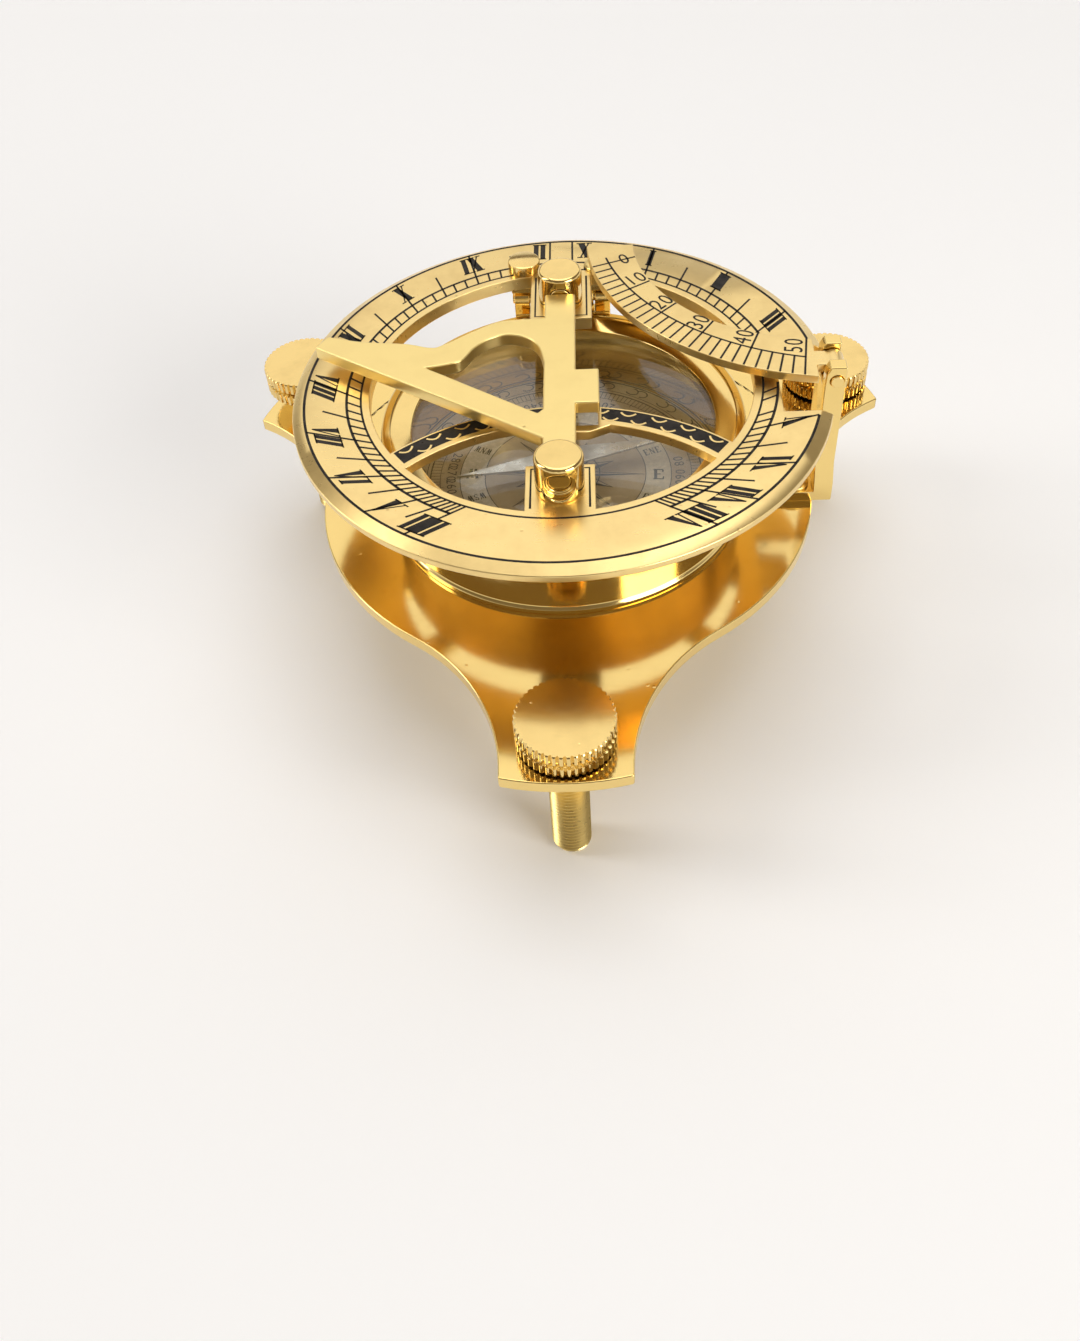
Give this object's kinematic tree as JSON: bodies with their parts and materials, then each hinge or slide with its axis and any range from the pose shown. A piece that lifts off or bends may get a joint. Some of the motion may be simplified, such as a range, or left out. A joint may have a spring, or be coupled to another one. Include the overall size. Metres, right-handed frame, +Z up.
{
  "type": "sundial compass",
  "caption": "Brass sundial compass: glazed compass case on a three-lobed base with levelling screws, a hinged hour ring with folding gnomon and a folding latitude arc.",
  "frame": {"origin": "on the ground under the middle of the whole outline, between the feet", "axes": "+Z up, +X east on the dial, +Y north on the dial; the longest lobe points to -Y"},
  "size_m": [0.0992, 0.0936, 0.0481],
  "materials": {
    "polished_brass": "turned and polished brass with fine turning marks",
    "cast_brass": "sand cast brass, filed and polished, with small pits",
    "dial_brass": "brushed and polished brass with black-filled engraving",
    "knurled_brass": "turned brass with a knurled edge",
    "screw_brass": "machined brass",
    "screw_steel": "plain steel screws",
    "needle_steel": "bright steel needle",
    "dial_card": "printed dial card",
    "black_enamel": "black wax or enamel filling in engraved work",
    "clear_glass": "clear flat glass"
  },
  "bodies": {
    "base": {"base_plate": "cast_brass", "bush_front": "polished_brass", "bush_left": "polished_brass", "bush_right": "polished_brass", "compass_case": "polished_brass", "case_screws": "screw_steel", "dial_card": "dial_card", "needle_pivot": "polished_brass", "glass": "clear_glass", "glass_ring": "polished_brass", "ring_bracket": "polished_brass", "ring_bracket_screws": "screw_brass", "ring_hinge_pin": "polished_brass", "arc_hinge_pin": "polished_brass", "arc_bracket": "polished_brass", "arc_bracket_screw": "screw_brass"},
    "ring": {"hour_ring": "dial_brass", "ring_hinge_leaf": "polished_brass", "leaf_screws": "screw_brass", "front_post": "polished_brass", "back_post": "polished_brass"},
    "gnomon": {"gnomon": "cast_brass", "gnomon_pin_front": "polished_brass", "gnomon_pin_back": "polished_brass"},
    "arc": {"latitude_arc": "dial_brass"},
    "needle": {"compass_needle": "needle_steel", "needle_cap": "polished_brass"},
    "screw_front": {"screw_front": "screw_brass"},
    "knob_front": {"knob_front": "knurled_brass"},
    "screw_left": {"screw_left": "screw_brass"},
    "knob_left": {"knob_left": "knurled_brass"},
    "screw_right": {"screw_right": "screw_brass"},
    "knob_right": {"knob_right": "knurled_brass"}
  },
  "joints": [
    {"name": "ring_tilt", "type": "hinge", "parent": "base", "child": "ring", "pos_m": [0, 0.0374, 0.0375], "axis": [-1, 0, 0], "range_deg": [0, 25]},
    {"name": "arc_fold", "type": "hinge", "parent": "base", "child": "arc", "pos_m": [0.038, 0.0091, 0.0435], "axis": [0, 1, 0], "range_deg": [0, 90]},
    {"name": "gnomon_fold", "type": "hinge", "parent": "ring", "child": "gnomon", "pos_m": [0, 0.0088, 0.04505], "axis": [0, 1, 0], "range_deg": [0, 90]},
    {"name": "needle_turn", "type": "hinge", "parent": "base", "child": "needle", "pos_m": [0, 0.0088, 0.0278], "axis": [0, 0, 1], "continuous": true},
    {"name": "screw_front_travel", "type": "slide", "parent": "base", "child": "screw_front", "axis": [0, 0, 1], "range_m": [-0.0003, 0.0098]},
    {"name": "knob_front_turn", "type": "hinge", "parent": "screw_front", "child": "knob_front", "pos_m": [0, -0.0396, 0.0254], "axis": [0, 0, 1], "range_deg": [-154.3, 5040]},
    {"name": "screw_left_travel", "type": "slide", "parent": "base", "child": "screw_left", "axis": [0, 0, 1], "range_m": [-0.0003, 0.0098]},
    {"name": "knob_left_turn", "type": "hinge", "parent": "screw_left", "child": "knob_left", "pos_m": [-0.04192, 0.033, 0.0282], "axis": [0, 0, 1], "range_deg": [-154.3, 5040]},
    {"name": "screw_right_travel", "type": "slide", "parent": "base", "child": "screw_right", "axis": [0, 0, 1], "range_m": [-0.0003, 0.0098]},
    {"name": "knob_right_turn", "type": "hinge", "parent": "screw_right", "child": "knob_right", "pos_m": [0.04192, 0.033, 0.0254], "axis": [0, 0, 1], "range_deg": [-154.3, 5040]}
  ],
  "couplings": [
    {"joint": "arc_fold", "follows": "ring_tilt", "ratio": 3.6},
    {"joint": "knob_front_turn", "follows": "screw_front_travel", "rad_per_m": 8976},
    {"joint": "knob_left_turn", "follows": "screw_left_travel", "rad_per_m": 8976},
    {"joint": "knob_right_turn", "follows": "screw_right_travel", "rad_per_m": 8976}
  ]
}
